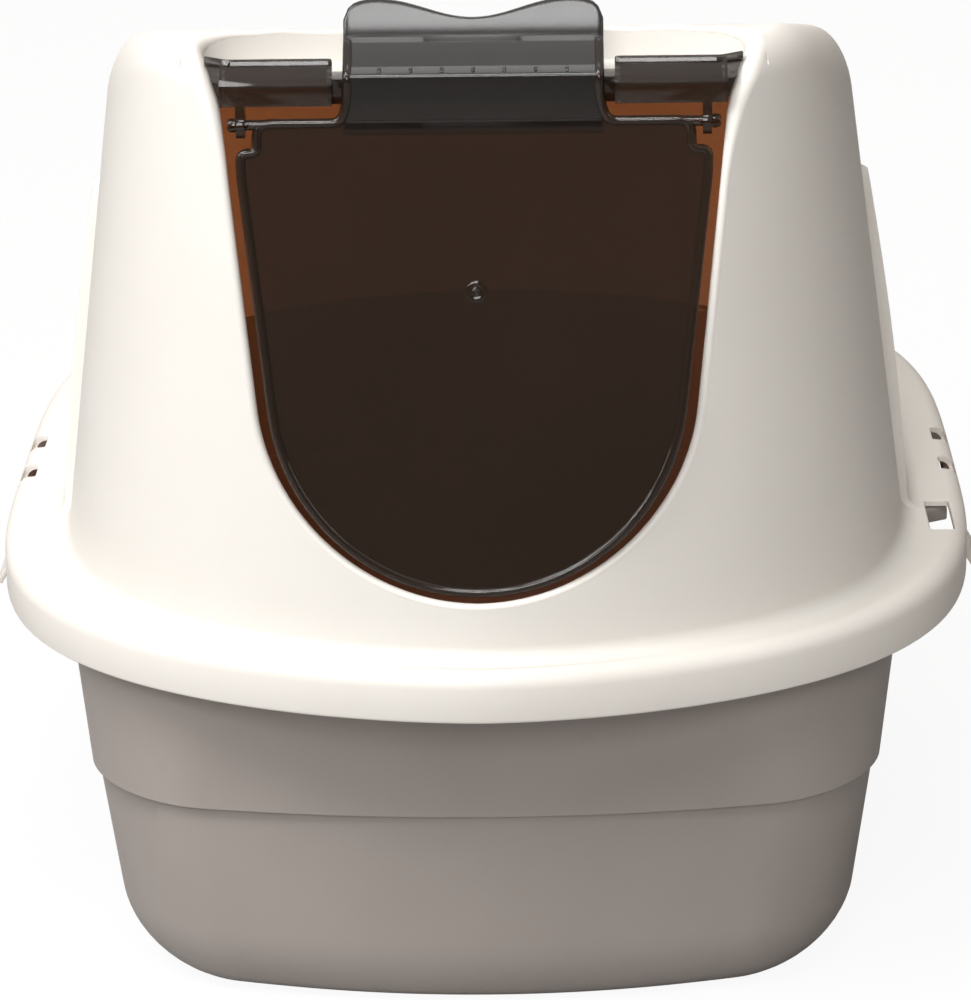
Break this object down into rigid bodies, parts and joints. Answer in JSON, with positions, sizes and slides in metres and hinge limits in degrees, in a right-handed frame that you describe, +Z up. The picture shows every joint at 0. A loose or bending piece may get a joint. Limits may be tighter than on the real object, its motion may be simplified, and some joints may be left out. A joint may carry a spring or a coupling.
{
  "type": "litter box",
  "caption": "Covered cat litter box: deep tray, drop-on hood with sloping roof and flange, tinted swing door on a hinge bar, side latches and a vented filter pocket.",
  "frame": {"origin": "under the middle of the tray's base, at the bottom of the bounding box", "axes": "+Z up, the entrance faces -Y, and +X is to the right for someone who looks at the entrance"},
  "size_m": [0.4286, 0.54, 0.4064],
  "materials": {
    "cream_plastic": "fine moulded satin",
    "taupe_plastic": "fine moulded satin",
    "smoke_plastic": "polished see-through tint",
    "carbon_felt": "fibrous"
  },
  "bodies": {
    "tray": {"tray": "taupe_plastic"},
    "hood": {"hood": "cream_plastic", "hinge_bar": "smoke_plastic", "carbon_filter": "carbon_felt"},
    "door": {"door": "smoke_plastic"},
    "latch_right": {"latch_right": "cream_plastic"},
    "latch_left": {"latch_left": "cream_plastic"},
    "filter_cover": {"filter_cover": "cream_plastic"}
  },
  "joints": [
    {"name": "hood_lift", "type": "slide", "parent": "tray", "child": "hood", "axis": [0, 0, 1], "range_m": [0, 0.3]},
    {"name": "door_swing", "type": "hinge", "parent": "hood", "child": "door", "pos_m": [0, -0.222, 0.3638], "axis": [1, 0, 0], "range_deg": [-24, 75]},
    {"name": "latch_right_swing", "type": "hinge", "parent": "hood", "child": "latch_right", "pos_m": [0.2002, -0.002, 0.151], "axis": [0, -1, 0], "range_deg": [-12, 70]},
    {"name": "latch_left_swing", "type": "hinge", "parent": "hood", "child": "latch_left", "pos_m": [-0.2002, -0.002, 0.151], "axis": [0, 1, 0], "range_deg": [-12, 70]},
    {"name": "filter_cover_swing", "type": "hinge", "parent": "hood", "child": "filter_cover", "pos_m": [0, 0.01151, 0.3362], "axis": [1, 0, 0], "range_deg": [0, 100]}
  ]
}
